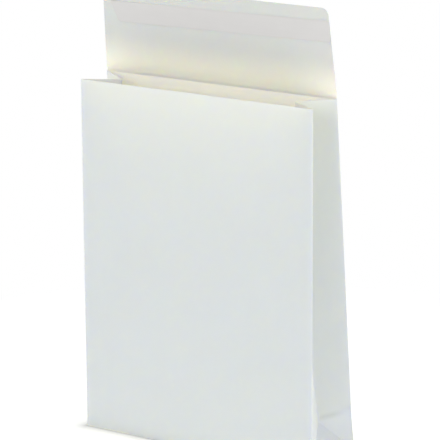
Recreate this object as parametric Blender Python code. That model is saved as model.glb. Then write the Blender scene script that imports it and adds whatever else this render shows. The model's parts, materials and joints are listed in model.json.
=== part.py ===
"""Builds a white card mailing envelope with a block bottom, bellows side gussets and a peel-and-seal flap.

Lengths are in metres and angles in degrees. +Z is up and the front panel faces -Y. The origin is the
middle of the base, on the surface that the envelope stands on. The envelope stands open, with its closing
flap up and its inner face to the front.
"""
import cmath
import math

import bmesh
import bpy
from mathutils import Matrix, Vector

# The body, folded from one sheet
WIDTH = 0.260              # of the front and back panels
DEPTH = 0.080              # of the base, and of each side gusset laid flat
FRONT_HEIGHT = 0.350       # top edge of the front panel
CREASE_HEIGHT = 0.3518     # fold line between the back panel and the closing flap
MOUTH_DEPTH = 0.0445       # from the front panel to the back panel at the front panel's height
CARD = 0.0004              # thickness of the card
APEX_PUSH = 0.0151         # how far each gusset's lower triangle leans in at its tip
VALLEY_DIP = 0.0007        # how far the gussets' inner folds end below the front panel's top edge
VALLEY_SPRING = 0.0012     # how far the inner folds spring back out at the mouth

# How tightly the card is folded
FOLD_RADIUS = 0.0008       # outer radius of the four upright edges
VALLEY_RADIUS = 0.0008     # outer radius of the gussets' inner folds
VALLEY_NOSE = 0.0005       # half of the flat between the two roundings of an inner fold
BASE_RADIUS = 0.0008       # outer radius of the edges round the base
LEAST_RADIUS = 0.0001
CORNER_SHARE = 0.03        # share of the diagonal folds that the base's corners round off

# The glued bottom
BOTTOM_LAP = 0.020         # how far the two long bottom flaps overlap
SIDE_PLIES = 4             # layers of card under the bottom's ends

# The closing flap
FLAP_LENGTH = 0.0864       # from the fold line to the flap's free edge
FLAP_TAPER = 0.0043        # how far each side of the flap slopes in over its length
FLAP_CORNER = 0.007        # radius of the free corners
FLAP_LEAN = 7.3            # how far the raised flap leans to the front
CREASE_GAP = 0.00094       # bare width of the scored fold between the two pieces of card
PIVOT_OFFSET = 0.0001      # from the card's outer face out to the line that the flap turns about

# The peel-and-seal strip on the flap's inner face
LINER_WIDTH = 0.0204
LINER_THICKNESS = 0.0001
LINER_SETBACK = 0.0238     # from the flap's free edge to the strip's middle line, at the middle of the flap
LINER_TILT = 0.75          # how far the strip was laid out of line with the fold
LINER_SLANT = 22.6         # of its left end, from square
LINER_START_GAP = 0.0133   # from the flap's left side to the middle of that end
LINER_END_GAP = 0.0003     # from the strip's right end to the flap's side
GLUE_THICKNESS = 0.0001
GLUE_MARGIN = 0.0015       # how much narrower the glue is than its liner, on each edge
GLUE_START_GAP = 0.0209    # from the flap's left side to the glue: the liner before it is the tab to pull
LAYER_GAP = 0.0002         # clearance between card, glue and liner

# How finely the curves are drawn
FOLD_STEPS = 3
VALLEY_STEPS = 2
BASE_STEPS = 3
TRIANGLE_ROWS = 6
UPPER_ROWS = 11
ROW_CROWDING = 1.25        # above 1, the rows of points crowd towards the lower triangle's tip
CORNER_STEPS = 8
STRAIGHT_SHARE = 0.45      # most of a wall that one rounded fold may take

HALF_WIDTH = WIDTH / 2
HALF_DEPTH = DEPTH / 2
APEX_HEIGHT = math.sqrt(HALF_DEPTH ** 2 - APEX_PUSH ** 2)
APEX_DEPTH = 2 * APEX_HEIGHT
HALF_LAP = BOTTOM_LAP / 2
PLY_END = HALF_WIDTH - HALF_DEPTH - HALF_LAP   # x where the folded-in side plies end on the floor
TIP_X = HALF_WIDTH - HALF_DEPTH                # x where the slanted ends of the two bottom flaps cross
BACK_TOP = CREASE_HEIGHT - CREASE_GAP / 2
FLOOR_SIDE = SIDE_PLIES * CARD
LINER_CENTRE = FLAP_LENGTH - LINER_SETBACK     # height of the strip's middle line up the flap
SMOOTH_UP_TO = math.radians(35)                # folds that turn less than this are shaded smooth

# Finishes, each as colour and roughness
WHITE_CARD = ((0.80, 0.82, 0.79, 1.0), 0.62)
TACKY_GLUE = ((0.72, 0.71, 0.62, 1.0), 0.35)
LINER_PAPER = ((0.68, 0.69, 0.67, 1.0), 0.45)


def depth_at(height):
    """Distance between the front and back panels: the back leans in, and bends at the gussets' tips."""
    if height < APEX_HEIGHT:
        return DEPTH + (APEX_DEPTH - DEPTH) * height / APEX_HEIGHT
    share = (height - APEX_HEIGHT) / (FRONT_HEIGHT - APEX_HEIGHT)
    return APEX_DEPTH + (MOUTH_DEPTH - APEX_DEPTH) * share


def gusset_push(height):
    """How far the inner fold lies in from the side.

    Each half of a gusset keeps its width of half the depth, less what the card springs back towards the mouth.
    """
    taut = math.sqrt(HALF_DEPTH ** 2 - (depth_at(height) / 2) ** 2)
    return taut - VALLEY_SPRING * (height - APEX_HEIGHT) / (FRONT_HEIGHT - APEX_HEIGHT)


def fold_overshoot(height):
    """How far past the side two walls would meet if their upright edge, which reaches the side, were sharp."""
    level = max(height, APEX_HEIGHT)
    half_angle_tangent = (depth_at(level) / 2) / (HALF_DEPTH + gusset_push(level))
    return FOLD_RADIUS * (1 / half_angle_tangent - 1)


def side_corners(height):
    """Corners of the right side at one height, from the front panel to the back panel, as x + iy.

    Below the tips, the second and third corners follow the two diagonal folds that rise from the base's
    corners. Above, they are the two sides of the inner fold.
    """
    front_y = -HALF_DEPTH
    back_y = front_y + depth_at(height)
    outer_x = HALF_WIDTH + fold_overshoot(height)
    if height < APEX_HEIGHT:
        share = max(height / APEX_HEIGHT, CORNER_SHARE)
        tip_y = front_y + APEX_DEPTH / 2
        inner_x = outer_x + (HALF_WIDTH - APEX_PUSH - outer_x) * share
        near_y = front_y + (tip_y - VALLEY_NOSE - front_y) * share
        far_y = HALF_DEPTH + (tip_y + VALLEY_NOSE - HALF_DEPTH) * share
    else:
        inner_x = HALF_WIDTH - gusset_push(height)
        near_y = (front_y + back_y) / 2 - VALLEY_NOSE
        far_y = (front_y + back_y) / 2 + VALLEY_NOSE
    return [complex(PLY_END, front_y), complex(outer_x, front_y), complex(inner_x, near_y),
            complex(inner_x, far_y), complex(outer_x, back_y), complex(PLY_END, back_y)]


def moved_in(corners, distance):
    """The same corners with every wall moved towards the inside, which lies on the left of the path."""
    directions = [(b - a) / abs(b - a) for a, b in zip(corners, corners[1:])]
    directions = [directions[0]] + directions + [directions[-1]]
    moved = []
    for corner, arriving, leaving in zip(corners, directions, directions[1:]):
        lean = 1 + (arriving * leaving.conjugate()).real
        moved.append(corner + distance * 1j * (arriving + leaving) / lean)
    return moved


def rounded_corner(before, corner, after, radius, steps):
    """Arc that replaces a corner, with its radius cut down where a neighbouring wall is short."""
    arriving = (corner - before) / abs(corner - before)
    leaving = (after - corner) / abs(after - corner)
    turn = cmath.phase(leaving / arriving)
    half_tangent = math.tan(abs(turn) / 2)
    room = STRAIGHT_SHARE * min(abs(corner - before), abs(after - corner))
    reach = min(radius * half_tangent, room)
    start = corner - arriving * reach
    centre = start + 1j * arriving * math.copysign(reach / half_tangent, turn)
    return [centre + (start - centre) * cmath.exp(1j * turn * step / steps) for step in range(steps + 1)]


def side_path(height, inset):
    """Right side of the folded tube at one height, with every wall moved in by the inset."""
    corners = moved_in(side_corners(height), inset)
    edge_fold = (max(FOLD_RADIUS - inset, LEAST_RADIUS), FOLD_STEPS)
    inner_fold = (VALLEY_RADIUS + inset, VALLEY_STEPS)
    folds = [edge_fold, inner_fold, inner_fold, edge_fold]
    path = [corners[0]]
    for before, corner, after, (radius, steps) in zip(corners, corners[1:], corners[2:], folds):
        path += rounded_corner(before, corner, after, radius, steps)
    return path + [corners[-1]]


def ring(height, inset):
    """Closed section of the tube: the right side from front to back, then its mirror image back again."""
    right = side_path(height, inset)
    left = [complex(-point.real, point.imag) for point in reversed(right)]
    return [Vector((point.real, point.imag, height)) for point in right + left]


def rim_height(y):
    """Height of the tube's top edge: level along the front, falling to the inner folds, rising to the back."""
    front_y = -HALF_DEPTH
    valley_y = front_y + MOUTH_DEPTH / 2
    back_y = front_y + depth_at(BACK_TOP)
    if y < valley_y:
        return FRONT_HEIGHT - VALLEY_DIP * max(y - front_y, 0) / (valley_y - front_y)
    share = min((y - valley_y) / (back_y - valley_y), 1)
    return FRONT_HEIGHT - VALLEY_DIP + (BACK_TOP - FRONT_HEIGHT + VALLEY_DIP) * share


def rim(inset):
    """Top edge of the tube, with the leaning back wall carried on to its own height."""
    front = ring(FRONT_HEIGHT, inset)
    back = ring(BACK_TOP, inset)
    valley_y = -HALF_DEPTH + MOUTH_DEPTH / 2
    edge = [high if low.y > valley_y else low for low, high in zip(front, back)]
    for point in edge:
        point.z = rim_height(point.y)
    return edge


def wall_heights():
    """Heights of the rows of points up the walls, between the base and the rim."""
    lower = [APEX_HEIGHT * row / TRIANGLE_ROWS for row in range(1, TRIANGLE_ROWS + 1)]
    rise = FRONT_HEIGHT - VALLEY_DIP - APEX_HEIGHT
    upper = [APEX_HEIGHT + rise * (row / UPPER_ROWS) ** ROW_CROWDING for row in range(1, UPPER_ROWS)]
    return lower + upper


def base_rows():
    """Rings round the base's edge, from the floor up: a quarter circle of card between base and wall."""
    rows = []
    for step in range(BASE_STEPS + 1):
        angle = math.pi / 2 * step / BASE_STEPS
        rows.append(ring(BASE_RADIUS * (1 - math.cos(angle)), BASE_RADIUS * (1 - math.sin(angle))))
    return rows


def add_rows(mesh, rows):
    """Joins rings of points into a tube and returns their vertices."""
    rows = [[mesh.verts.new(point) for point in row] for row in rows]
    count = len(rows[0])
    for lower, upper in zip(rows, rows[1:]):
        for index in range(count):
            following = (index + 1) % count
            mesh.faces.new((lower[index], lower[following], upper[following], upper[index]))
    return rows


def add_underside(mesh, edge):
    """Closes the base from below with the folded plies.

    The back flap lies on the floor and laps over the front flap, which rises from the front edge to clear
    it. Both have ends slanted at 45 degrees, and between them the side plies show as two triangles.
    """
    half = len(edge) // 2
    front_corner = 1 + FOLD_STEPS
    back_corner = half - 1 - front_corner
    front_y = edge[0].co.y
    rise = CARD / (-HALF_LAP - front_y)
    slanted_fold = 2 * CARD
    points = {}
    for side in (1, -1):
        tip_x = side * TIP_X
        lap_x = side * PLY_END
        points["back tip", side] = mesh.verts.new((tip_x, 0, 0))
        points["front tip", side] = mesh.verts.new((tip_x, 0, -front_y * rise))
        points["side tip", side] = mesh.verts.new((tip_x, 0, -front_y * rise + slanted_fold))
        points["back lap", side] = mesh.verts.new((lap_x, -HALF_LAP, 0))
        points["front lap", side] = mesh.verts.new((lap_x, -HALF_LAP, CARD))

    def mirrored(index):
        return 2 * half - 1 - index

    for side in (1, -1):
        pick = (lambda index: edge[index]) if side == 1 else (lambda index: edge[mirrored(index)])
        end = [pick(index) for index in range(front_corner, back_corner + 1)]
        mesh.faces.new(end + [points["side tip", side]])
        mesh.faces.new((pick(front_corner), points["side tip", side], points["front tip", side]))
        mesh.faces.new((pick(back_corner), points["back tip", side], points["front tip", side],
                        points["side tip", side]))
        mesh.faces.new((points["back tip", side], points["back lap", side], points["front lap", side],
                        points["front tip", side]))
    mesh.faces.new([points[name, side] for name, side in
                    (("back lap", 1), ("back lap", -1), ("front lap", -1), ("front lap", 1))])
    front_edge = [edge[mirrored(index)] for index in range(front_corner, -1, -1)]
    front_edge += [edge[index] for index in range(front_corner + 1)]
    mesh.faces.new(front_edge + [points["front tip", 1], points["front lap", 1],
                                 points["front lap", -1], points["front tip", -1]])
    back_edge = [edge[index] for index in range(back_corner, half)]
    back_edge += [edge[mirrored(index)] for index in range(half - 1, back_corner - 1, -1)]
    mesh.faces.new(back_edge + [points["back tip", -1], points["back lap", -1],
                                points["back lap", 1], points["back tip", 1]])


def add_floor(mesh, edge):
    """Closes the base from inside.

    The side plies lie at both ends, and between them the front flap lies over the back flap.
    """
    half = len(edge) // 2
    front_y = edge[0].co.y
    back_y = edge[half - 1].co.y
    profile = [(front_y, CARD), (-HALF_LAP, 2 * CARD), (HALF_LAP, 2 * CARD), (HALF_LAP, CARD), (back_y, CARD)]
    right = [mesh.verts.new((PLY_END, y, z)) for y, z in profile]
    left = [mesh.verts.new((-PLY_END, y, z)) for y, z in profile]
    mesh.faces.new(edge[:half])
    mesh.faces.new(edge[half:])
    mesh.faces.new([edge[0]] + right + [edge[half - 1]])
    mesh.faces.new([edge[-1]] + left + [edge[half]])
    mesh.faces.new((edge[-1], edge[0], right[0], left[0]))
    mesh.faces.new((edge[half - 1], edge[half], left[-1], right[-1]))
    for index in range(len(profile) - 1):
        mesh.faces.new((right[index], right[index + 1], left[index + 1], left[index]))


def make_body():
    """The folded sheet: front panel, two bellows gussets, back panel and block bottom, all one piece."""
    mesh = bmesh.new()
    outer_rows = base_rows() + [ring(height, 0) for height in wall_heights()] + [rim(0)]
    inner_rows = [ring(FLOOR_SIDE, CARD)] + [ring(height, CARD) for height in wall_heights()] + [rim(CARD)]
    outer = add_rows(mesh, outer_rows)
    inner = add_rows(mesh, inner_rows)
    for corners in zip(outer[-1], outer[-1][1:] + outer[-1][:1], inner[-1][1:] + inner[-1][:1], inner[-1]):
        mesh.faces.new(corners)
    add_underside(mesh, outer[0])
    add_floor(mesh, inner[0])
    return finished("envelope_body", mesh, material("white_card", WHITE_CARD))


def flap_side(height):
    """Distance from the middle of the flap to its sloping side, at a height up the flap."""
    return HALF_WIDTH - FLAP_TAPER * height / FLAP_LENGTH


def flap_outline():
    """Outline of the flap as x and height above the fold line: a tapered tongue with rounded free corners."""
    low = CREASE_GAP / 2
    before = complex(flap_side(low), low)
    corner = complex(flap_side(FLAP_LENGTH), FLAP_LENGTH)
    right = [before] + rounded_corner(before, corner, complex(0, FLAP_LENGTH), FLAP_CORNER, CORNER_STEPS)
    left = [complex(-point.real, point.imag) for point in reversed(right)]
    return [(point.real, point.imag) for point in right + left]


def strip_outline(start_gap, slant, margin):
    """Outline of a strip along the liner's slightly tilted middle line, cut off along the flap's right side."""
    rise = math.tan(math.radians(LINER_TILT))
    reach = LINER_WIDTH / 2 - margin
    start = start_gap - flap_side(LINER_CENTRE)
    corners = []
    for edge in (-1, 1):
        left_x = start - edge * reach * math.tan(math.radians(slant))
        left = (left_x, LINER_CENTRE + rise * left_x + edge * reach)
        right_height = LINER_CENTRE + rise * HALF_WIDTH + edge * reach
        right = (flap_side(right_height) - LINER_END_GAP - margin, right_height)
        corners.append((left, right))
    (low_left, low_right), (high_left, high_right) = corners
    return [low_left, low_right, high_right, high_left]


def make_plate(name, outline, back, thickness, finish):
    """A flat sheet in the flap's plane, from its back face towards the front by its thickness."""
    mesh = bmesh.new()
    base = mesh.faces.new([mesh.verts.new((x, -back, height)) for x, height in outline])
    sheet = bmesh.ops.extrude_face_region(mesh, geom=[base])
    moved = [item for item in sheet["geom"] if isinstance(item, bmesh.types.BMVert)]
    bmesh.ops.translate(mesh, verts=moved, vec=(0, -thickness, 0))
    return finished(name, mesh, finish)


def finished(name, mesh, finish):
    """Turns a bmesh into a named object with its faces pointing out and its folds shaded smooth."""
    bmesh.ops.recalc_face_normals(mesh, faces=mesh.faces)
    data = bpy.data.meshes.new(name)
    mesh.to_mesh(data)
    mesh.free()
    data.materials.append(finish)
    data.shade_smooth()
    data.set_sharp_from_angle(angle=SMOOTH_UP_TO)
    made = bpy.data.objects.new(name, data)
    bpy.context.collection.objects.link(made)
    return made


def material(name, finish):
    """A plain Principled finish."""
    colour, roughness = finish
    made = bpy.data.materials.new(name)
    made.use_nodes = True
    shader = made.node_tree.nodes["Principled BSDF"]
    shader.inputs["Base Color"].default_value = colour
    shader.inputs["Roughness"].default_value = roughness
    shader.inputs["Metallic"].default_value = 0.0
    return made


def make_flap():
    """The closing flap with its glue and release liner, on an empty that lies along the fold line."""
    crease = bpy.data.objects.new("flap_crease", None)
    crease.empty_display_size = HALF_DEPTH
    crease.matrix_world = Matrix.Translation(
        (0, -HALF_DEPTH + depth_at(CREASE_HEIGHT) + PIVOT_OFFSET, CREASE_HEIGHT)
    ) @ Matrix.Rotation(math.radians(FLAP_LEAN), 4, "X")
    bpy.context.collection.objects.link(crease)

    flap_back = PIVOT_OFFSET
    glue_back = flap_back + CARD + LAYER_GAP
    liner_back = glue_back + GLUE_THICKNESS + LAYER_GAP
    glue_shape = strip_outline(GLUE_START_GAP, 0, GLUE_MARGIN)
    liner_shape = strip_outline(LINER_START_GAP, LINER_SLANT, 0)
    flap = make_plate("closing_flap", flap_outline(), flap_back, CARD, material("flap_card", WHITE_CARD))
    glue = make_plate("seal_adhesive", glue_shape, glue_back, GLUE_THICKNESS, material("seal_glue", TACKY_GLUE))
    liner = make_plate("release_liner", liner_shape, liner_back, LINER_THICKNESS,
                       material("liner_paper", LINER_PAPER))
    for piece in (flap, glue, liner):
        piece.parent = crease


def main():
    for old in list(bpy.data.objects):
        bpy.data.objects.remove(old, do_unlink=True)
    make_body()
    make_flap()


main()
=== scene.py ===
"""Looks of a white card mailing envelope that stands open on its block bottom, with its closing flap up.

Lengths are in metres and angles in degrees, in the row frame: +Z up, the front panel to -Y. Every new piece
is a grid of points worked out with numpy. Complex numbers stand for x + iy in a level section of it.
Tones are linear red, green and blue.
"""
import json
import math

import bmesh
import bpy
import numpy as np
from mathutils import Matrix, Vector

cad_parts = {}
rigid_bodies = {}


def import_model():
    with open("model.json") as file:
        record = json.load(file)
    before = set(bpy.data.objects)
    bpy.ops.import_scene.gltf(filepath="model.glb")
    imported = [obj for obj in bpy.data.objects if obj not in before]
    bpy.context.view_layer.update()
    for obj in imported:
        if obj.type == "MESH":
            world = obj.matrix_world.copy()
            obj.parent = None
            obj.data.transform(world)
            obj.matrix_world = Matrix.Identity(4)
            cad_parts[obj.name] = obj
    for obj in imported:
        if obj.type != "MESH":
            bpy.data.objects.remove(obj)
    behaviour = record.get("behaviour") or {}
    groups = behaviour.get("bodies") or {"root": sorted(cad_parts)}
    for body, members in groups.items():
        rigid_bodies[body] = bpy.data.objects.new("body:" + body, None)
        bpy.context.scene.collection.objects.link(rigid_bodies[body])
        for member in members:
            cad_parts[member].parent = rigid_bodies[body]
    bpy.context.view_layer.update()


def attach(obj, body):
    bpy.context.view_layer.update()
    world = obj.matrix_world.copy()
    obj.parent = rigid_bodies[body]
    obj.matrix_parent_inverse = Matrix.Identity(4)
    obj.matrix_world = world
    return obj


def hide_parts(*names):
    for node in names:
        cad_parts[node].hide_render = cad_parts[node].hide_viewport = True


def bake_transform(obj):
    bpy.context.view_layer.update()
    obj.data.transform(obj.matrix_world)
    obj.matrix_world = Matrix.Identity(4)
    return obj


# The folded body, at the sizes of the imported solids
WIDTH = 0.260              # of the front and back panels
DEPTH = 0.080              # of the base, and of each side gusset laid flat
FRONT_HEIGHT = 0.350       # top edge of the front panel
CREASE_HEIGHT = 0.3518     # fold line between the back panel and the closing flap
MOUTH_DEPTH = 0.0445       # from the front panel to the back panel at the front panel's height
CARD = 0.0004              # thickness of the card
APEX_PUSH = 0.0151         # how far each gusset's lower triangle leans in at its tip
VALLEY_DIP = 0.0007        # how far the gussets' inner folds end below the front panel's top edge
VALLEY_SPRING = 0.0012     # how far the inner folds spring back out at the mouth
FOLD_RADIUS = 0.0008       # outer radius of the four upright edges
VALLEY_RADIUS = 0.0008     # outer radius of the gussets' inner folds
VALLEY_NOSE = 0.0005       # half of the flat between the two roundings of an inner fold
BASE_RADIUS = 0.0008       # outer radius of the edges round the base
LEAST_RADIUS = 0.0001
CORNER_SHARE = 0.03        # share of the diagonal folds that the base's corners round off
STRAIGHT_SHARE = 0.45      # most of a wall that one rounded fold may take
BOTTOM_LAP = 0.020         # how far the two long bottom flaps overlap
SIDE_PLIES = 4             # layers of card under the bottom's ends

# The closing flap and its peel-off strip
FLAP_LENGTH = 0.0864       # from the fold line to the flap's free edge
FLAP_TAPER = 0.0043        # how far each side of the flap slopes in over its length
FLAP_CORNER = 0.007        # radius of the free corners
FLAP_LEAN = 7.3            # how far the raised flap leans to the front
CORNER_ROOM = 0.001        # how much narrower each side is beside the fold
CORNER_REACH = 0.005       # and how far up that goes
CREASE_GAP = 0.00094       # bare width of the scored fold between the two pieces of card
PIVOT_OFFSET = 0.0001      # from the card's outer face out to the line that the flap turns about
LINER_WIDTH = 0.0204
LINER_THICKNESS = 0.0001
LINER_SETBACK = 0.0238     # from the flap's free edge to the strip's middle line
LINER_TILT = 0.75          # how far the strip was laid out of line with the fold
LINER_SLANT = 22.6         # of its left end, from square
LINER_START_GAP = 0.0133   # from the flap's left side to the middle of that end
LINER_END_GAP = 0.0003     # from the strip's right end to the flap's side
LINER_CORNER = 0.0035      # radius of its lower left corner
LINER_CROWD = 1.3          # power that crowds the strip's columns towards its left end
LINER_LIFT = 0.0004        # how far the strip's lower edge stands off
TAB_LIFT = 0.0008          # how much further its loose left end does
TAB_LENGTH = 0.014         # of that loose end
GLUE_THICKNESS = 0.0001
GLUE_MARGIN = 0.0015       # how much narrower the glue is than its liner, on each edge
GLUE_START_GAP = 0.0209    # from the flap's left side to the glue
LAYER_GAP = 0.00003        # between card, glue and liner

# How finely the surfaces are drawn
MIDDLE_STEPS = 32          # across the middle of a panel
SIDE_STEPS = 10            # from there to its upright edge
GUSSET_STEPS = 12          # across each half of a gusset
FOLD_STEPS = 8
VALLEY_STEPS = 6
BASE_STEPS = 6
LOWER_ROWS = 24            # up the lower triangles
UPPER_ROWS = 76            # from their tips to the mouth
FLAP_COLUMNS = 60
FLAP_ROWS = 20
CORNER_ROWS = 10
LINER_ROWS = 14
STRIP_ROWS = 12
SHARP_FROM = math.radians(35)

# Unevenness of the card
WAVE_HEIGHT = 0.00022      # of the long shallow waves in the walls
WAVE_LENGTH = 0.17         # that the walls' waves are shortened from
WAVE_COUNT = 6
WAVE_STEP = 0.45           # how much each wave's length is divided further than the one before
WAVE_SEED = 4
FLAP_BOW = 0.0002          # height of the waves at the flap's free edge
FLAP_WAVE_LENGTH = 0.16
FLAP_WAVE_COUNT = 3
FLAP_WAVE_SEED = 9
CALM_BASE = 0.003          # height at which waves and dents begin
CALM_FADE = 0.02           # and how far on from there, or from the rim, they reach their full height
FOLD_CALM = 0.014          # how far from a fold or an edge the waves reach their full height
FOLD_WEAR = 0.0011         # half width of the paler line along a fold, partly wear and partly painted highlight
RIM_WEAR = 0.0014          # and of the one along the mouth's edge
RIM_SHARE = 0.8            # and how strong it is
CREASE_WEAR = 0.0022       # of the one on the flap, up from its fold
CREASE_DENT = 0.00030      # depth of the pressed line across the gussets' back halves
CREASE_WIDTH = 0.0016      # half width of that line
CREASE_LIFT = 0.0055       # of that line above the tips of the lower triangles
CREASE_RISE = 0.0011       # how far it climbs towards the back fold
CREASE_SAG = 0.018         # and how strongly it first dips beside the inner fold
CREASE_START = 0.12        # share of a gusset's back half over which the line begins
FACET_START = 0.1          # and over which the facet below it does
FACET_END = 0.05           # share over which the facet ends at the back fold
FACET_FADE = 0.002         # height over which it ends at the pressed line

# The camera, worked out from the photograph's straight edges
CAMERA_AZIMUTH = 33.18
CAMERA_ELEVATION = 14.68
CAMERA_ROLL = -0.345
CAMERA_DISTANCE = 2.5705
CAMERA_TARGET = (0.0288, -0.040, 0.2323)
SENSOR = 36.0              # mm
LENS = 224.1               # mm

# The card lets some light through, more of the red than of the blue
CARD_DEPTH = 0.0015        # how far light spreads in the body's card
FLAP_DEPTH = 0.0004        # and in the flap's
CARD_REACH = (1.0, 0.85, 0.5)
BODY_TONE = (0.865, 0.864, 0.74)
FLAP_PAINTED_SHADE_TONE = (0.665, 0.685, 0.68)    # of the flap's inner face, a greyer copy of the same card: painted shade
FOLD_PAINTED_GLOW_TONE = (0.97, 0.96, 0.90)      # of the inner face of the band at the scored fold, paler than the card: painted glow
PAINTED_GLOW_TONES = ((0.96, 0.945, 0.88), (0.98, 0.965, 0.91))   # painted glow: the envelope's inside, paler and warmer than the card as if lit through it, cloudy between the two
GLOW_REACH = 0.042         # how far up the flap its inner face keeps those painted glow tones
WEAR_AND_HIGHLIGHT_TONE = (0.945, 0.942, 0.91)
WEAR_AND_HIGHLIGHT_SHARE = 0.35          # how far the card turns to that tone along a fold or edge, partly wear and partly painted highlight
# Painted highlight: the facet under the pressed line, paler as if it faced the light
PAINTED_LIGHT_FACET_TONE = (0.98, 0.98, 0.92)
PAINTED_LIGHT_FACET_SHARE = 0.3
# Painted shade along the pressed line across the gussets
PRESSED_LINE_SHADE_TONE = (0.62, 0.62, 0.56)
PRESSED_LINE_SHADE_SHARE = 0.35
CUT_TONE = (0.95, 0.945, 0.91)
CLOUD_SHARE = 0.2          # how far the card turns to white where its clouds are palest
CARD_CLOUDS = 26           # lumps in a metre
CARD_FLECKS = 420
CARD_GRAIN = 2200
CARD_STREAKS = (150, 150, 9)        # these run up the walls
CARD_RELIEF = 0.00035
FIBRE_RELIEF = 0.00003

# The peel-off strip and its glue, each cloudy between two tones
LINER_TONES = ((0.655, 0.640, 0.635), (0.705, 0.688, 0.683))
LINER_CUT_TONE = (0.85, 0.83, 0.80)
LINER_CLOUDS = 60
LINER_LINES = (12, 300, 300)        # these run along the strip
LINER_RELIEF = 0.00008
GLUE_TONES = ((0.74, 0.725, 0.60), (0.80, 0.79, 0.68))
GLUE_CLOUDS = 90
GLUE_RIPPLES = (40, 260, 260)
GLUE_RELIEF = 0.0001

# The studio
WHITE = (1, 1, 1)
FLOOR_REACH = 14.0         # from the middle to each side
FLOOR_CELLS = 8
FLOOR_TONE = (0.93, 0.93, 0.92)
FLOOR_GAP = 0.00005        # keeps it clear of the base's own face
FLOOR_LIFT = 0.45          # light that the floor shows of its own, so that it comes out white
FLOOR_BOUNCE = 0.50        # and that it sends back up, as a floor lit from all round would
SHADOW_REACH = 0.30        # distance at which the floor starts to turn into plain white
SHADOW_FADE = 0.25         # and how much further it has turned
PAINTED_CONTACT_SHADOW_TONE = (0.16, 0.16, 0.15)   # painted contact shadow: the floor's tone right at the base, where no light gets in
CONTACT_REACH = 0.007      # distance in which that tone's share falls to the next value
CONTACT_FADE = 0.37
CAMERA_END = 100           # nothing beyond this distance is drawn
SKY = (0.96, 0.98, 0.98)
SKY_STRENGTH = 0.53
LAMPS = (
    # name, place, aim, size, watts, colour
    ("backdrop", (0.2, 2.2, 0.6), (0, 0.02, 0.2), 1.4, 22, (1.0, 1.0, 0.98)),
    ("key", (-0.4, -5.1, 2.2), (0, 0, 0.3), 2.6, 68, (1.0, 1.0, 0.98)),
    ("right", (2.3, 0.1, 0.7), (0, 0, 0.2), 1.6, 6.5, (1.0, 1.0, 0.98)),
)

HALF_WIDTH = WIDTH / 2
HALF_DEPTH = DEPTH / 2
APEX_HEIGHT = math.sqrt(HALF_DEPTH ** 2 - APEX_PUSH ** 2)
APEX_DEPTH = 2 * APEX_HEIGHT
HALF_LAP = BOTTOM_LAP / 2
PLY_END = HALF_WIDTH - HALF_DEPTH - HALF_LAP   # x where the folded-in side plies end on the floor
TIP_X = HALF_WIDTH - HALF_DEPTH                # x where the slanted ends of the two bottom flaps cross
BACK_TOP = CREASE_HEIGHT - CREASE_GAP / 2
TOP_ROW = FRONT_HEIGHT - 2 * VALLEY_DIP        # the highest level row of points, just under the rim
FLOOR_SIDE = SIDE_PLIES * CARD
LINER_CENTRE = FLAP_LENGTH - LINER_SETBACK


def smooth_step(share):
    """0 up to 0, 1 from 1 on, and the cubic 3s^2 - 2s^3 between."""
    share = np.clip(share, 0, 1)
    return share * share * (3 - 2 * share)


def depth_at(height):
    """Distance between the panels: linear from the base to the gussets' tips, and linear on to the mouth."""
    low = DEPTH + (APEX_DEPTH - DEPTH) * height / APEX_HEIGHT
    rise = (height - APEX_HEIGHT) / (FRONT_HEIGHT - APEX_HEIGHT)
    return np.where(height < APEX_HEIGHT, low, APEX_DEPTH + (MOUTH_DEPTH - APEX_DEPTH) * rise)


def gusset_push(height):
    """How far the inner fold lies in: a leg of the triangle on half a gusset's width, less the spring."""
    taut = np.sqrt(HALF_DEPTH ** 2 - (depth_at(height) / 2) ** 2)
    return taut - VALLEY_SPRING * (height - APEX_HEIGHT) / (FRONT_HEIGHT - APEX_HEIGHT)


def fold_overshoot(height):
    """How far past the side two walls would meet if their rounded upright edge were sharp."""
    level = np.maximum(height, APEX_HEIGHT)
    half_angle_tangent = (depth_at(level) / 2) / (HALF_DEPTH + gusset_push(level))
    return FOLD_RADIUS * (1 / half_angle_tangent - 1)


def side_corners(height):
    """Corners of the right side from the front panel to the back one, as six rows of x + iy.

    Up to the tips the second and third corners run along the two diagonal folds. Above, they are the two
    sides of the inner fold.
    """
    front_y = np.full(len(height), -HALF_DEPTH)
    back_y = front_y + depth_at(height)
    outer_x = HALF_WIDTH + fold_overshoot(height)
    below = height < APEX_HEIGHT
    share = np.clip(height / APEX_HEIGHT, CORNER_SHARE, 1)
    tip_y = APEX_HEIGHT - HALF_DEPTH
    middle_y = (front_y + back_y) / 2
    inner_x = np.where(below, outer_x + (HALF_WIDTH - APEX_PUSH - outer_x) * share,
                       HALF_WIDTH - gusset_push(height))
    near_y = np.where(below, front_y + (tip_y - VALLEY_NOSE - front_y) * share, middle_y - VALLEY_NOSE)
    far_y = np.where(below, HALF_DEPTH + (tip_y + VALLEY_NOSE - HALF_DEPTH) * share, middle_y + VALLEY_NOSE)
    xs = [np.full(len(height), PLY_END), outer_x, inner_x, inner_x, outer_x, np.full(len(height), PLY_END)]
    ys = [front_y, front_y, near_y, far_y, back_y, back_y]
    return np.array(xs) + 1j * np.array(ys)


def moved_in(corners, distance):
    """The same corners with every wall moved in by the distance, each along the bisector of its two walls."""
    directions = np.diff(corners, axis=0)
    directions /= abs(directions)
    arriving = np.concatenate([directions[:1], directions])
    leaving = np.concatenate([directions, directions[-1:]])
    return corners + distance * 1j * (arriving + leaving) / (1 + (arriving * leaving.conj()).real)


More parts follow.
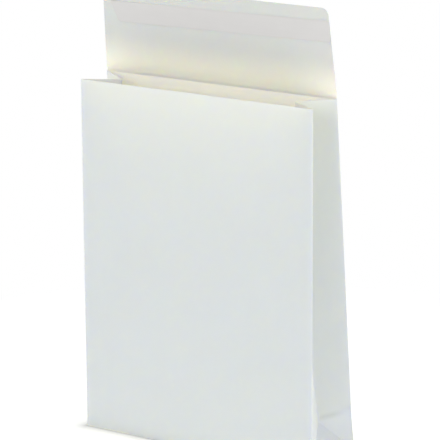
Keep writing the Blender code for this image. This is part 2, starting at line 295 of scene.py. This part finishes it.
def rounded(before, corner, after, radius, steps):
    """Arc that replaces a corner: its start turned about its centre in equal steps of the whole turn."""
    arriving = (corner - before) / abs(corner - before)
    leaving = (after - corner) / abs(after - corner)
    turn = np.angle(leaving / arriving)
    half_tangent = np.tan(abs(turn) / 2)
    room = STRAIGHT_SHARE * np.minimum(abs(corner - before), abs(after - corner))
    reach = np.minimum(radius * half_tangent, room)
    start = corner - arriving * reach
    centre = start + 1j * arriving * np.copysign(reach / half_tangent, turn)
    return centre + (start - centre) * np.exp(1j * turn * np.linspace(0, 1, steps + 1)[:, None])


def between(start, end, steps):
    """Points that divide a line into equal steps, without its two ends."""
    return start + (end - start) * np.linspace(0, 1, steps + 1)[1:-1, None]


def side_path(height, inset):
    """Right side of the tube at each height, with every wall moved in by the inset, one column per height."""
    corners = moved_in(side_corners(height), inset)
    edge = (np.maximum(FOLD_RADIUS - inset, LEAST_RADIUS), FOLD_STEPS)
    inner = (VALLEY_RADIUS + inset, VALLEY_STEPS)
    arcs = [rounded(corners[i], corners[i + 1], corners[i + 2], *fold)
            for i, fold in enumerate((edge, inner, inner, edge))]
    front, near, far, back = arcs
    return np.concatenate([
        corners[:1], between(corners[0], front[0], SIDE_STEPS), front,
        between(front[-1], near[0], GUSSET_STEPS), near, far,
        between(far[-1], back[0], GUSSET_STEPS), back,
        between(back[-1], corners[-1], SIDE_STEPS), corners[-1:],
    ])


def ring(height, inset):
    """Closed sections of the tube as rows of points: right side, back, the mirrored left side, front."""
    height = np.atleast_1d(height).astype(float)
    inset = np.broadcast_to(inset, height.shape)
    right = side_path(height, inset)
    left = -right[::-1].conj()
    path = np.concatenate([right, between(right[-1], left[0], MIDDLE_STEPS), left,
                           between(left[-1], right[0], MIDDLE_STEPS)])
    return np.stack([path.real, path.imag, np.broadcast_to(height, path.shape)], -1).transpose(1, 0, 2)


SIDE_COUNT = 2 * (SIDE_STEPS + FOLD_STEPS + 1 + GUSSET_STEPS - 1 + VALLEY_STEPS + 1)
FRONT_CORNER = SIDE_STEPS + FOLD_STEPS          # last point of the front fold on the right side
BACK_CORNER = SIDE_COUNT - 1 - FRONT_CORNER     # first point of the back fold


def room_to_fold():
    """For each column of a ring, its distance from the nearest fold and its share of a gusset's back half."""
    across_side = np.linspace(HALF_WIDTH - PLY_END, 0, SIDE_STEPS + 1)[:-1]
    share = np.linspace(0, 1, GUSSET_STEPS + 1)[1:-1]
    half = HALF_DEPTH * np.minimum(share, 1 - share)
    fold = np.zeros(FOLD_STEPS + 1)
    valley = np.zeros(VALLEY_STEPS + 1)
    near = np.concatenate([across_side, fold, half, valley])
    right = np.concatenate([near, near[::-1]])
    middle = np.full(MIDDLE_STEPS - 1, HALF_WIDTH - PLY_END)
    back_half = np.concatenate([np.zeros(len(near)), valley, share, fold + 1, across_side[::-1] * 0 + 1])
    clear = np.concatenate([right, middle, right[::-1], middle])
    back_share = np.concatenate([back_half, middle * 0 + 1, back_half[::-1], middle * 0])
    return clear, back_share


def waves(x, y, z, count, length, seed):
    """Sum of sine waves of random direction and phase, each shorter and lower than the one before."""
    rng = np.random.default_rng(seed)
    total = np.zeros(np.broadcast(x, y, z).shape)
    for order in range(1, count + 1):
        direction = rng.normal(size=3)
        direction /= np.linalg.norm(direction)
        along = direction[0] * x + direction[1] * y + direction[2] * z
        turns = along * (1 + WAVE_STEP * order) / length
        total += np.sin(2 * math.pi * turns + rng.uniform(0, 2 * math.pi)) / order
    return total


def crease_level(back_share):
    """Height of the pressed line for a share of a gusset's back half.

    It is the line's height over the tips, plus the rise times the share cubed, less the sag times the share
    times (1 - share) cubed. On the back panel, where the share is 1, it stays level.
    """
    start = APEX_HEIGHT + CREASE_LIFT
    return start + CREASE_RISE * back_share ** 3 - CREASE_SAG * back_share * (1 - back_share) ** 3


def crease_line(points, back_share):
    """How close each point is to the pressed line, from 0 to 1."""
    away = (points[..., 2] - crease_level(back_share)) / CREASE_WIDTH
    return np.exp(-away ** 2) * smooth_step(back_share / CREASE_START)


def pressed_facet(heights, back_share):
    """1 between the pressed line and the diagonal fold below it, on the back halves of the gussets, where a
    painted highlight goes.
    """
    under = smooth_step((crease_level(back_share) - heights) / FACET_FADE)
    return under * smooth_step(back_share / FACET_START) * smooth_step((1 - back_share) / FACET_END)


def relief(points, clear, back_share):
    """How far the card lies out of its flat walls: long shallow waves that fade at folds, less the dent."""
    x, y, z = np.moveaxis(points, -1, 0)
    calm = smooth_step(clear / FOLD_CALM)
    top = FRONT_HEIGHT - VALLEY_DIP
    ends = smooth_step((z - CALM_BASE) / CALM_FADE) * smooth_step((top - z) / CALM_FADE)
    uneven = WAVE_HEIGHT * waves(x, y, z, WAVE_COUNT, WAVE_LENGTH, WAVE_SEED) * calm
    return (uneven - CREASE_DENT * crease_line(points, back_share)) * ends


def outward(points):
    """Unit normals of a closed grid: the step round it crossed with the step up it."""
    around = np.roll(points, -1, axis=1) - np.roll(points, 1, axis=1)
    normal = np.cross(around, np.gradient(points, axis=0))
    return normal / np.linalg.norm(normal, axis=-1, keepdims=True)


def rim_height(y):
    """Height of the tube's top edge: it falls from the front to the inner folds and rises to the back."""
    valley_y = MOUTH_DEPTH / 2 - HALF_DEPTH
    back_y = depth_at(np.array(BACK_TOP)) - HALF_DEPTH
    heights = [FRONT_HEIGHT, FRONT_HEIGHT - VALLEY_DIP, BACK_TOP]
    return np.interp(y, [-HALF_DEPTH, valley_y, back_y], heights)


def rim(inset, height):
    """The top row of a skin: each point slides along the wall's slope to its own height."""
    low = ring(TOP_ROW, inset)[0]
    high = ring(BACK_TOP, inset)[0]
    share = (height - TOP_ROW) / (BACK_TOP - TOP_ROW)
    return low + (high - low) * share[:, None]


def grid_faces(rows, columns, closed=False, start=0):
    """Four corners of every cell of a grid of points, counted row by row from the start."""
    index = start + np.arange(rows * columns).reshape(rows, columns)
    if closed:
        index = np.concatenate([index, index[:, :1]], axis=1)
    return np.stack([index[:-1, :-1], index[:-1, 1:], index[1:, 1:], index[1:, :-1]], -1).reshape(-1, 4)


def mirrored(index, columns):
    """Column of a ring that is the left twin of a column on its right side."""
    return columns - MIDDLE_STEPS - index


def underside(first, columns, start, front_y):
    """Points and faces that close the base from below.

    The back flap lies flat and laps over the front flap, which rises evenly from the front edge to clear it.
    Both end on 45 degree slants, with the side plies recessed as two triangles between them.
    """
    rise = CARD / (-HALF_LAP - front_y)
    tip_z = -front_y * rise
    points = []
    faces = []
    tips = {}
    for side in (1, -1):
        names = ("back tip", "front tip", "side tip", "back lap", "front lap")
        tips[side] = dict(zip(names, range(start + len(points), start + len(points) + len(names))))
        points += [(side * TIP_X, 0, 0), (side * TIP_X, 0, tip_z), (side * TIP_X, 0, tip_z + 2 * CARD),
                   (side * PLY_END, -HALF_LAP, 0), (side * PLY_END, -HALF_LAP, CARD)]
        end = np.arange(FRONT_CORNER, BACK_CORNER + 1)
        end = list(first + (end if side == 1 else mirrored(end, columns)))
        at = tips[side]
        faces += [end + [at["side tip"]],
                  [end[0], at["side tip"], at["front tip"]],
                  [end[-1], at["back tip"], at["front tip"], at["side tip"]],
                  [at["back tip"], at["back lap"], at["front lap"], at["front tip"]]]
    right, left = tips[1], tips[-1]
    faces.append([right["back lap"], left["back lap"], left["front lap"], right["front lap"]])
    front = np.arange(mirrored(FRONT_CORNER, columns), columns + FRONT_CORNER + 1) % columns
    back = np.arange(BACK_CORNER, mirrored(BACK_CORNER, columns) + 1)
    faces.append(list(first + front) + [right["front tip"], right["front lap"],
                                        left["front lap"], left["front tip"]])
    faces.append(list(first + back) + [left["back tip"], left["back lap"],
                                       right["back lap"], right["back tip"]])
    return points, faces


def floor_inside(first, columns, start, front_y, back_y):
    """Points and faces that close the base from inside: side plies, and the front flap over the back one."""
    profile = [(front_y, CARD), (-HALF_LAP, 2 * CARD), (HALF_LAP, 2 * CARD), (HALF_LAP, CARD), (back_y, CARD)]
    points = [(side * PLY_END, y, z) for side in (1, -1) for y, z in profile]
    right = [start + i for i in range(len(profile))]
    left = [start + len(profile) + i for i in range(len(profile))]
    side = np.arange(SIDE_COUNT)
    right_side = list(first + side)
    left_side = list(first + mirrored(side, columns))
    front = np.arange(mirrored(0, columns), columns + 1) % columns
    back = np.arange(SIDE_COUNT - 1, mirrored(SIDE_COUNT - 1, columns) + 1)
    faces = [right_side, left_side, [right_side[0]] + right + [right_side[-1]],
             [left_side[0]] + left + [left_side[-1]],
             list(first + front) + [right[0], left[0]], list(first + back) + [left[-1], right[-1]]]
    faces += [[right[i], right[i + 1], left[i + 1], left[i]] for i in range(len(profile) - 1)]
    return points, faces


def make_mesh(name, points, faces, cut_edges, marks, finish):
    """A mesh object from whole arrays, with its cut edges marked face by face and all else point by point."""
    mesh = bpy.data.meshes.new(name)
    mesh.from_pydata([tuple(p) for p in points.tolist()], [], faces)
    mesh.attributes.new("cut_edge", "FLOAT", "FACE").data.foreach_set("value", cut_edges.astype(np.float32))
    for mark, values in marks.items():
        mesh.attributes.new(mark, "FLOAT", "POINT").data.foreach_set("value", values.astype(np.float32))
    shape = bmesh.new()
    shape.from_mesh(mesh)
    bmesh.ops.recalc_face_normals(shape, faces=shape.faces)
    shape.to_mesh(mesh)
    shape.free()
    mesh.shade_smooth()
    mesh.set_sharp_from_angle(angle=SHARP_FROM)
    mesh.materials.append(finish)
    made = bpy.data.objects.new(name, mesh)
    bpy.context.scene.collection.objects.link(made)
    return made


def make_body(finish):
    """The folded sheet as one closed skin: outside up, over the rim, and down the inside to the floor."""
    angle = np.linspace(0, math.pi / 2, BASE_STEPS + 1)
    base = ring(BASE_RADIUS * (1 - np.cos(angle)), BASE_RADIUS * (1 - np.sin(angle)))
    lower = APEX_HEIGHT * np.arange(1, LOWER_ROWS + 1) / LOWER_ROWS
    upper = APEX_HEIGHT + (TOP_ROW - APEX_HEIGHT) * np.arange(1, UPPER_ROWS + 1) / UPPER_ROWS
    heights = np.concatenate([lower, upper])
    clear, back_share = room_to_fold()

    outer = ring(heights, 0)
    out = outward(outer) * relief(outer, clear, back_share)[..., None]
    inner = ring(heights, CARD) + out
    outer = outer + out
    top = rim_height(rim(0, np.full(len(clear), BACK_TOP))[:, 1])
    rows = np.concatenate([base, outer, rim(0, top)[None], rim(CARD, top)[None],
                           inner[:0:-1], ring(FLOOR_SIDE, CARD)])
    row_count, columns = rows.shape[:2]
    points = rows.reshape(-1, 3)
    faces = grid_faces(row_count, columns, closed=True)
    rim_row = len(base) + len(outer)
    cut = np.repeat(np.arange(row_count - 1) == rim_row, columns)

    heights = rows[..., 2]
    near_rim = np.exp(-((top - heights) / RIM_WEAR) ** 2)
    marks = {
        # Paler folds and rim, partly wear and partly painted highlight
        "wear_and_highlight": np.maximum(np.exp(-(clear / FOLD_WEAR) ** 2), RIM_SHARE * near_rim),
        # Painted glow over the whole inside, its floor included
        "painted_glow": np.arange(row_count)[:, None] > rim_row + 0 * clear,
        # Painted shade along the pressed line
        "pressed": crease_line(rows, back_share),
        # Painted highlight on the facet under the pressed line
        "painted_light_facet": pressed_facet(heights, back_share),
    }
    below, below_faces = underside(0, columns, len(points), base[0, 0, 1])
    last = (row_count - 1) * columns
    inside, inside_faces = floor_inside(last, columns, len(points) + len(below), rows[-1, 0, 1],
                                        rows[-1, SIDE_COUNT - 1, 1])
    extra = below_faces + inside_faces
    points = np.concatenate([points, below, inside])
    for mark, values in marks.items():
        marks[mark] = np.concatenate([values.ravel(), np.zeros(len(below)),
                                      np.full(len(inside), mark == "painted_glow")])
    cut = np.concatenate([cut, np.zeros(len(extra))])
    return make_mesh("folded_body", points, faces.tolist() + extra, cut, marks, finish)


def flap_side(up):
    """Distance from the middle of the flap to its sloping side, at a distance up the flap.

    Beside the fold it is a little less, so that the corner clears the gusset as the flap comes down.
    """
    room = CORNER_ROOM * (1 - smooth_step(up / CORNER_REACH))
    return HALF_WIDTH - FLAP_TAPER * up / FLAP_LENGTH - room


def flap_bow(x, up):
    """How far the flap stands off its flat plane: waves that grow as the square of the way from the fold."""
    reach = np.clip(up / FLAP_LENGTH, 0, 1) ** 2
    return reach * FLAP_BOW * waves(x, 0 * up, up, FLAP_WAVE_COUNT, FLAP_WAVE_LENGTH, FLAP_WAVE_SEED)


def on_flap(x, up, front):
    """Points of the flap's own plane: across, up from the fold line, and to the front of it, plus the bow."""
    lean = math.radians(FLAP_LEAN)
    front = front + flap_bow(x, up)
    y = depth_at(np.array(CREASE_HEIGHT)) - HALF_DEPTH + PIVOT_OFFSET
    return np.stack([x + 0 * up, y - front * math.cos(lean) - up * math.sin(lean),
                     CREASE_HEIGHT - front * math.sin(lean) + up * math.cos(lean)], -1)


def make_sheet(name, front, back, finish, wear_and_highlight=0.0, inside=0.0):
    """A closed sheet between two grids of points: its front, its back turned over, and the edge of both."""
    rows, columns = front.shape[:2]
    count = rows * columns
    index = np.arange(count).reshape(rows, columns)
    loop = np.concatenate([index[0, :-1], index[:-1, -1], index[-1, :0:-1], index[:0:-1, 0]])
    following = np.roll(loop, -1)
    edge = np.stack([loop, loop + count, following + count, following], -1)
    skin = grid_faces(rows, columns)
    faces = np.concatenate([skin, skin[:, ::-1] + count, edge])
    points = np.concatenate([front.reshape(-1, 3), back.reshape(-1, 3)])
    cut = np.arange(len(faces)) >= 2 * len(skin)
    plain = np.zeros((rows, columns))
    # Both faces take paler folds, partly wear and partly painted highlight
    marks = {"wear_and_highlight": np.tile((wear_and_highlight + plain).ravel(), 2),
             "front_face": np.repeat([1.0, 0.0], count),
             # The front face takes a share of painted glow, paler and warmer as if lit through the card
             "painted_glow": np.concatenate([(inside + plain).ravel(), plain.ravel()])}
    return make_mesh(name, points, faces.tolist(), cut, marks, finish)


def make_flap(finish):
    """The closing flap: a tapered tongue whose free corners follow a quarter circle, row by row."""
    angle = np.linspace(0, math.pi / 2, CORNER_ROWS + 1)
    straight = np.linspace(CREASE_GAP / 2, FLAP_LENGTH - FLAP_CORNER, FLAP_ROWS)
    up = np.concatenate([straight, FLAP_LENGTH - FLAP_CORNER * (1 - np.sin(angle[1:]))])
    cut_in = np.concatenate([np.zeros(FLAP_ROWS), FLAP_CORNER * (1 - np.cos(angle[1:]))])
    half = (flap_side(up) - cut_in)[:, None]
    x = half * np.linspace(-1, 1, FLAP_COLUMNS + 1)
    up = up[:, None] + 0 * x
    # Paler foot by the fold, partly wear and partly painted highlight
    wear_and_highlight = np.exp(-(up / CREASE_WEAR) ** 2)
    # The last argument is the flap's painted glow, fading up its inner face from the fold
    return make_sheet("flap_sheet", on_flap(x, up, PIVOT_OFFSET + CARD), on_flap(x, up, PIVOT_OFFSET),
                      finish, wear_and_highlight, 1 - smooth_step(up / GLOW_REACH))


def make_crease_strip(finish):
    """The scored fold: a narrow band of card that fills the gap between the back panel and the flap."""
    side = flap_side(CREASE_GAP / 2)
    x = np.linspace(-side, side, FLAP_COLUMNS + 1)
    back_y = depth_at(np.array(BACK_TOP)) - HALF_DEPTH
    share = np.linspace(0, 1, STRIP_ROWS + 1)[:, None, None]

    def face(inset):
        low = np.stack([x, 0 * x + back_y - inset, 0 * x + BACK_TOP], -1)
        high = on_flap(x, 0 * x + CREASE_GAP / 2, PIVOT_OFFSET + inset)
        return low + (high - low) * share

    inner, outer = face(CARD), face(0)
    made = make_sheet("crease_strip", inner, outer, finish)
    middle = (inner + outer)[:, FLAP_COLUMNS // 2] / 2
    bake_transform(made)
    return made


def strip_grid(start_gap, slant, margin, corner):
    """Places across and up the flap of a strip along the liner's tilted middle line, and its two parameters.

    The left end slants, with its lower corner rounded off as a quarter circle; the right end follows the
    flap's side.
    """
    reach = LINER_WIDTH / 2 - margin
    across = reach * np.sin(np.linspace(-1, 1, LINER_ROWS + 1) * math.pi / 2)[:, None]
    rise = math.tan(math.radians(LINER_TILT))
    fall = np.clip(corner - (across + reach), 0, corner)
    left = start_gap - flap_side(LINER_CENTRE) - across * math.tan(math.radians(slant))
    left = left + corner - np.sqrt(corner ** 2 - fall ** 2)
    right = flap_side(LINER_CENTRE + rise * HALF_WIDTH + across) - LINER_END_GAP - margin
    crowd = np.linspace(0, 1, FLAP_COLUMNS + 1)[None, :] ** LINER_CROWD
    x = left + (right - left) * crowd
    return x, LINER_CENTRE + rise * x + across, across / reach, x - left


def make_glue(finish):
    """The band of glue under the liner: a thin film on the flap's inner face."""
    x, up, _, _ = strip_grid(GLUE_START_GAP, 0, GLUE_MARGIN, 0)
    front = PIVOT_OFFSET + CARD + LAYER_GAP
    return make_sheet("glue_band", on_flap(x, up, front + GLUE_THICKNESS), on_flap(x, up, front), finish)


def make_liner(finish):
    """The peel-off strip: its lower edge stands off as the square of the way down, its left end further."""
    x, up, across, along = strip_grid(LINER_START_GAP, LINER_SLANT, 0, LINER_CORNER)
    lift = LINER_LIFT * np.clip(-across, 0, 1) ** 2 + TAB_LIFT * smooth_step(1 - along / TAB_LENGTH) ** 2
    front = PIVOT_OFFSET + CARD + GLUE_THICKNESS + 2 * LAYER_GAP + lift
    return make_sheet("liner_strip", on_flap(x, up, front + LINER_THICKNESS), on_flap(x, up, front), finish)


def colour(red, green, blue):
    """A tone as the four values that a colour socket takes."""
    return (red, green, blue, 1.0)


class Socket:
    """A node's output, so that sums and products of what the nodes give are written as plain maths."""

    def __init__(self, tree, output):
        self.tree = tree
        self.output = output

    def maths(self, operation, first, second):
        return self.tree.add("ShaderNodeMath", {"operation": operation}, {0: first, 1: second})

    def __add__(self, other):
        return self.maths("ADD", self, other)

    def __sub__(self, other):
        return self.maths("SUBTRACT", self, other)

    def __rsub__(self, other):
        return self.maths("SUBTRACT", other, self)

    def __mul__(self, other):
        return self.maths("MULTIPLY", self, other)

    __radd__ = __add__
    __rmul__ = __mul__


class Tree:
    """The nodes of one material or of the world."""

    def __init__(self, holder):
        holder.use_nodes = True
        self.nodes = holder.node_tree.nodes
        self.links = holder.node_tree.links
        self.nodes.clear()

    def add(self, kind, settings=None, inputs=None, output=0):
        """Adds a node, makes its settings, then fills its inputs with values or links them to sockets."""
        node = self.nodes.new(kind)
        for name, value in (settings or {}).items():
            setattr(node, name, value)
        for name, value in (inputs or {}).items():
            if isinstance(value, Socket):
                self.links.new(value.output, node.inputs[name])
            else:
                node.inputs[name].default_value = value
        return Socket(self, node.outputs[output]) if len(node.outputs) else None

    def noise(self, place, scale, detail):
        """Cloudy values about one half, with the scale in lumps per metre."""
        return self.add("ShaderNodeTexNoise", None, {"Vector": place, "Scale": scale, "Detail": detail})

    def vector(self, operation, first, second=(0, 0, 0)):
        """What an operation makes of two vectors, part by part."""
        return self.add("ShaderNodeVectorMath", {"operation": operation}, {0: first, 1: second})

    def length(self, vector):
        return self.add("ShaderNodeVectorMath", {"operation": "LENGTH"}, {0: vector}, output="Value")

    def stretched(self, place, scale):
        """Coordinates multiplied part by part, so that a noise read from them is drawn out."""
        return self.vector("MULTIPLY", place, scale)

    def mix(self, factor, first, second):
        """A colour that goes from the first to the second as the factor goes from 0 to 1."""
        return self.add("ShaderNodeMix", {"data_type": "RGBA"}, {0: factor, 6: first, 7: second}, output=2)

    def between(self, factor, tones):
        """A colour that goes from the first to the second of two tones."""
        return self.mix(factor, colour(*tones[0]), colour(*tones[1]))

    def mark(self, name):
        """A value that the piece's own mesh carries."""
        return self.add("ShaderNodeAttribute", {"attribute_name": name}, output="Fac")

    def bump(self, height, distance, normal=None):
        """Surface relief: the height times a distance in metres, on top of a normal if one is given."""
        inputs = {"Height": height, "Distance": distance}
        if normal:
            inputs["Normal"] = normal
        return self.add("ShaderNodeBump", None, inputs)


def new_material(name):
    """An empty node material and its tree."""
    material = bpy.data.materials.new(name)
    return material, Tree(material)


def card_finish(name, depth, tone):
    """Smooth white card, slightly cloudy, streaked and fibrous, paler where it is cut, and paler along folds
    partly from wear and partly as a painted highlight.

    The tone is that of a sheet's front face; the flap's is a greyer copy of the card, which is painted shade.
    The body's outside and the sheets' backs have the body's tone, and the inside has painted glow.
    """
    material, tree = new_material(name)
    place = tree.add("ShaderNodeTexCoord", output="Object")
    clouds = tree.noise(place, CARD_CLOUDS, 4)
    flecks = tree.noise(place, CARD_FLECKS, 3)
    streaks = tree.noise(tree.stretched(place, CARD_STREAKS), 1, 4)
    grain = tree.noise(place, CARD_GRAIN, 2)
    wear_and_highlight = tree.mark("wear_and_highlight")
    cloudy = clouds * 0.5 + flecks * 0.2 + streaks * 0.3
    # A flap's front-face tone is a greyer copy of the card: painted shade
    base = tree.mix(tree.mark("front_face"), colour(*BODY_TONE), colour(*tone))
    base = tree.mix(cloudy, base, tree.mix(CLOUD_SHARE, base, colour(*WHITE)))
    # Painted glow on the inside, paler and warmer as if lit through the card
    base = tree.mix(tree.mark("painted_glow"), base, tree.between(cloudy, PAINTED_GLOW_TONES))
    # Paler folds and rim: partly wear, partly painted highlight
    base = tree.mix(wear_and_highlight * WEAR_AND_HIGHLIGHT_SHARE, base, colour(*WEAR_AND_HIGHLIGHT_TONE))
    # Painted highlight on the facet under the pressed line
    base = tree.mix(tree.mark("painted_light_facet") * PAINTED_LIGHT_FACET_SHARE, base, colour(*PAINTED_LIGHT_FACET_TONE))
    # Painted shade along the pressed line
    base = tree.mix(tree.mark("pressed") * PRESSED_LINE_SHADE_SHARE, base, colour(*PRESSED_LINE_SHADE_TONE))
    base = tree.mix(tree.mark("cut_edge"), base, colour(*CUT_TONE))
    undulation = tree.bump(clouds * 0.7 + streaks * 0.3, CARD_RELIEF)
    fibres = tree.bump(grain * 0.6 + flecks * 0.4, FIBRE_RELIEF, undulation)
    tree.add("ShaderNodeOutputMaterial", None, {"Surface": tree.add("ShaderNodeBsdfPrincipled", None, {
        "Base Color": base, "Roughness": flecks * 0.10 + wear_and_highlight * 0.08 + 0.55, "Normal": fibres,
        "Specular IOR Level": 0.3, "Subsurface Weight": 1.0 if depth else 0.0, "Subsurface Scale": depth,
        "Subsurface Radius": CARD_REACH})})
    return material


def liner_finish():
    """Coated release paper: greyer and smoother than the card, with faint lines along the strip."""
    material, tree = new_material("release paper")
    place = tree.add("ShaderNodeTexCoord", output="Object")
    lines = tree.noise(tree.stretched(place, LINER_LINES), 1, 4)
    uneven = lines * 0.5 + tree.noise(place, LINER_CLOUDS, 3) * 0.5
    base = tree.mix(tree.mark("cut_edge"), tree.between(uneven, LINER_TONES), colour(*LINER_CUT_TONE))
    tree.add("ShaderNodeOutputMaterial", None, {"Surface": tree.add("ShaderNodeBsdfPrincipled", None, {
        "Base Color": base, "Roughness": lines * 0.12 + 0.34, "Normal": tree.bump(uneven, LINER_RELIEF)})})
    return material


def glue_finish():
    """Clear tacky film over card: a little darker and yellower than the card, glossy and finely rippled."""
    material, tree = new_material("seal glue")
    place = tree.add("ShaderNodeTexCoord", output="Object")
    ripples = tree.noise(tree.stretched(place, GLUE_RIPPLES), 1, 3)
    clouds = tree.noise(place, GLUE_CLOUDS, 3)
    tree.add("ShaderNodeOutputMaterial", None, {"Surface": tree.add("ShaderNodeBsdfPrincipled", None, {
        "Base Color": tree.between(clouds, GLUE_TONES), "Roughness": clouds * 0.2 + 0.18,
        "Normal": tree.bump(ripples, GLUE_RELIEF)})})
    return material


def seen_directly(tree):
    """1 on rays that show the background: from the camera, in reflections and through clear things."""
    path = {name: tree.add("ShaderNodeLightPath", output=name)
            for name in ("Is Camera Ray", "Is Glossy Ray", "Is Transmission Ray")}
    total = path["Is Camera Ray"] + path["Is Glossy Ray"] + path["Is Transmission Ray"]
    return total.maths("MINIMUM", total, 1.0)


def floor_finish():
    """White floor with a painted contact shadow right at the base, which further off shows as plain white to
    the camera.

    The painted shadow's share is the fade to the power of the distance from the base's rectangle over the
    reach.
    """
    material, tree = new_material("white floor")
    seen = seen_directly(tree)
    place = tree.add("ShaderNodeTexCoord", output="Object")
    beyond = tree.vector("SUBTRACT", tree.vector("ABSOLUTE", place), (HALF_WIDTH, HALF_DEPTH, 0))
    gap = tree.length(tree.vector("MAXIMUM", beyond, (0, 0, 0)))
    # Painted contact shadow round the base
    painted_shadow = gap.maths("POWER", CONTACT_FADE, gap * (1 / CONTACT_REACH))
    tint = tree.mix(painted_shadow, colour(*FLOOR_TONE), colour(*PAINTED_CONTACT_SHADOW_TONE))
    lit = tree.add("ShaderNodeBsdfDiffuse", None, {"Color": tint})
    strength = seen * (FLOOR_LIFT - FLOOR_BOUNCE) + FLOOR_BOUNCE
    lift = tree.add("ShaderNodeEmission", None, {"Color": colour(*WHITE), "Strength": strength})
    near = tree.add("ShaderNodeAddShader", None, {0: lit, 1: lift})
    white = tree.add("ShaderNodeEmission", None, {"Color": colour(*WHITE), "Strength": 1.0})
    distance = tree.length(place)
    far = (distance - SHADOW_REACH) * (1 / SHADOW_FADE)
    far = far.maths("MINIMUM", far.maths("MAXIMUM", far, 0.0), 1.0)
    tree.add("ShaderNodeOutputMaterial", None, {"Surface": tree.add("ShaderNodeMixShader", None, {
        0: far * seen, 1: near, 2: white})})
    return material


def make_floor():
    """A wide flat floor, just under the base so that the two faces don't share a plane."""
    line = np.linspace(-FLOOR_REACH, FLOOR_REACH, FLOOR_CELLS + 1)
    x, y = np.meshgrid(line, line)
    points = np.stack([x, y, 0 * x - FLOOR_GAP], -1).reshape(-1, 3)
    mesh = bpy.data.meshes.new("floor")
    mesh.from_pydata(points.tolist(), [], grid_faces(FLOOR_CELLS + 1, FLOOR_CELLS + 1).tolist())
    mesh.materials.append(floor_finish())
    floor = bpy.data.objects.new("floor", mesh)
    bpy.context.scene.collection.objects.link(floor)


def make_world():
    """Even, slightly cool light from all round, and plain white behind the object."""
    world = bpy.data.worlds.new("studio")
    bpy.context.scene.world = world
    tree = Tree(world)
    light = tree.add("ShaderNodeBackground", None, {"Color": colour(*SKY), "Strength": SKY_STRENGTH})
    white = tree.add("ShaderNodeBackground", None, {"Color": colour(*WHITE), "Strength": 1.0})
    both = tree.add("ShaderNodeMixShader", None, {0: seen_directly(tree), 1: light, 2: white})
    tree.add("ShaderNodeOutputWorld", None, {"Surface": both})


def aimed(place, aim):
    """Rotation that points an object's -Z axis from its place to the aim."""
    return (Vector(aim) - Vector(place)).to_track_quat("-Z", "Y").to_euler()


def make_lamps():
    """Square soft lamps, which the camera doesn't see."""
    for name, place, aim, size, watts, tint in LAMPS:
        data = bpy.data.lights.new(name, "AREA")
        data.size = size
        data.energy = watts
        data.color = tint
        lamp = bpy.data.objects.new(name, data)
        lamp.location = place
        lamp.rotation_euler = aimed(place, aim)
        lamp.visible_camera = False
        bpy.context.scene.collection.objects.link(lamp)


def make_camera():
    """A long lens whose axes are worked out from its azimuth, elevation and roll."""
    azimuth, elevation, roll = (math.radians(a) for a in (CAMERA_AZIMUTH, CAMERA_ELEVATION, CAMERA_ROLL))
    back = np.array([math.sin(azimuth) * math.cos(elevation), -math.cos(azimuth) * math.cos(elevation),
                     math.sin(elevation)])
    right = np.array([math.cos(azimuth), math.sin(azimuth), 0])
    up = np.cross(back, right)
    across = math.cos(roll) * right + math.sin(roll) * up
    upright = math.cos(roll) * up - math.sin(roll) * right
    data = bpy.data.cameras.new("camera")
    data.sensor_width = SENSOR
    data.lens = LENS
    data.clip_end = CAMERA_END
    camera = bpy.data.objects.new("camera", data)
    matrix = np.eye(4)
    matrix[:3, :3] = np.stack([across, upright, back], axis=1)
    matrix[:3, 3] = np.array(CAMERA_TARGET) + back * CAMERA_DISTANCE
    bpy.context.scene.collection.objects.link(camera)
    camera.matrix_world = Matrix(matrix.tolist())
    bpy.context.scene.camera = camera


def main():
    """Clears the start scene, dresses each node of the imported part, and sets up the studio."""
    for old in list(bpy.data.objects):
        bpy.data.objects.remove(old, do_unlink=True)
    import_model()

    body = make_body(card_finish("white card", CARD_DEPTH, BODY_TONE))
    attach(body, "envelope")
    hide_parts("envelope_body")

    # The flap's card is a greyer copy of the body's: painted shade, with painted glow at its foot
    card = card_finish("white card of the flap with painted shade", FLAP_DEPTH, FLAP_PAINTED_SHADE_TONE)
    flap = make_flap(card)
    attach(flap, "flap")
    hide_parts("closing_flap")

    # The fold's band has a paler inner tone: painted glow, since this card lets no light through
    crease = make_crease_strip(card_finish("white card of the fold", 0, FOLD_PAINTED_GLOW_TONE))

    glue = make_glue(glue_finish())
    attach(glue, "flap")
    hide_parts("seal_adhesive")

    liner = make_liner(liner_finish())
    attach(liner, "flap")
    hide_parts("release_liner")

    make_floor()
    make_world()
    make_lamps()
    make_camera()
    bpy.context.scene.view_settings.view_transform = "Standard"
    bpy.context.view_layer.update()


main()
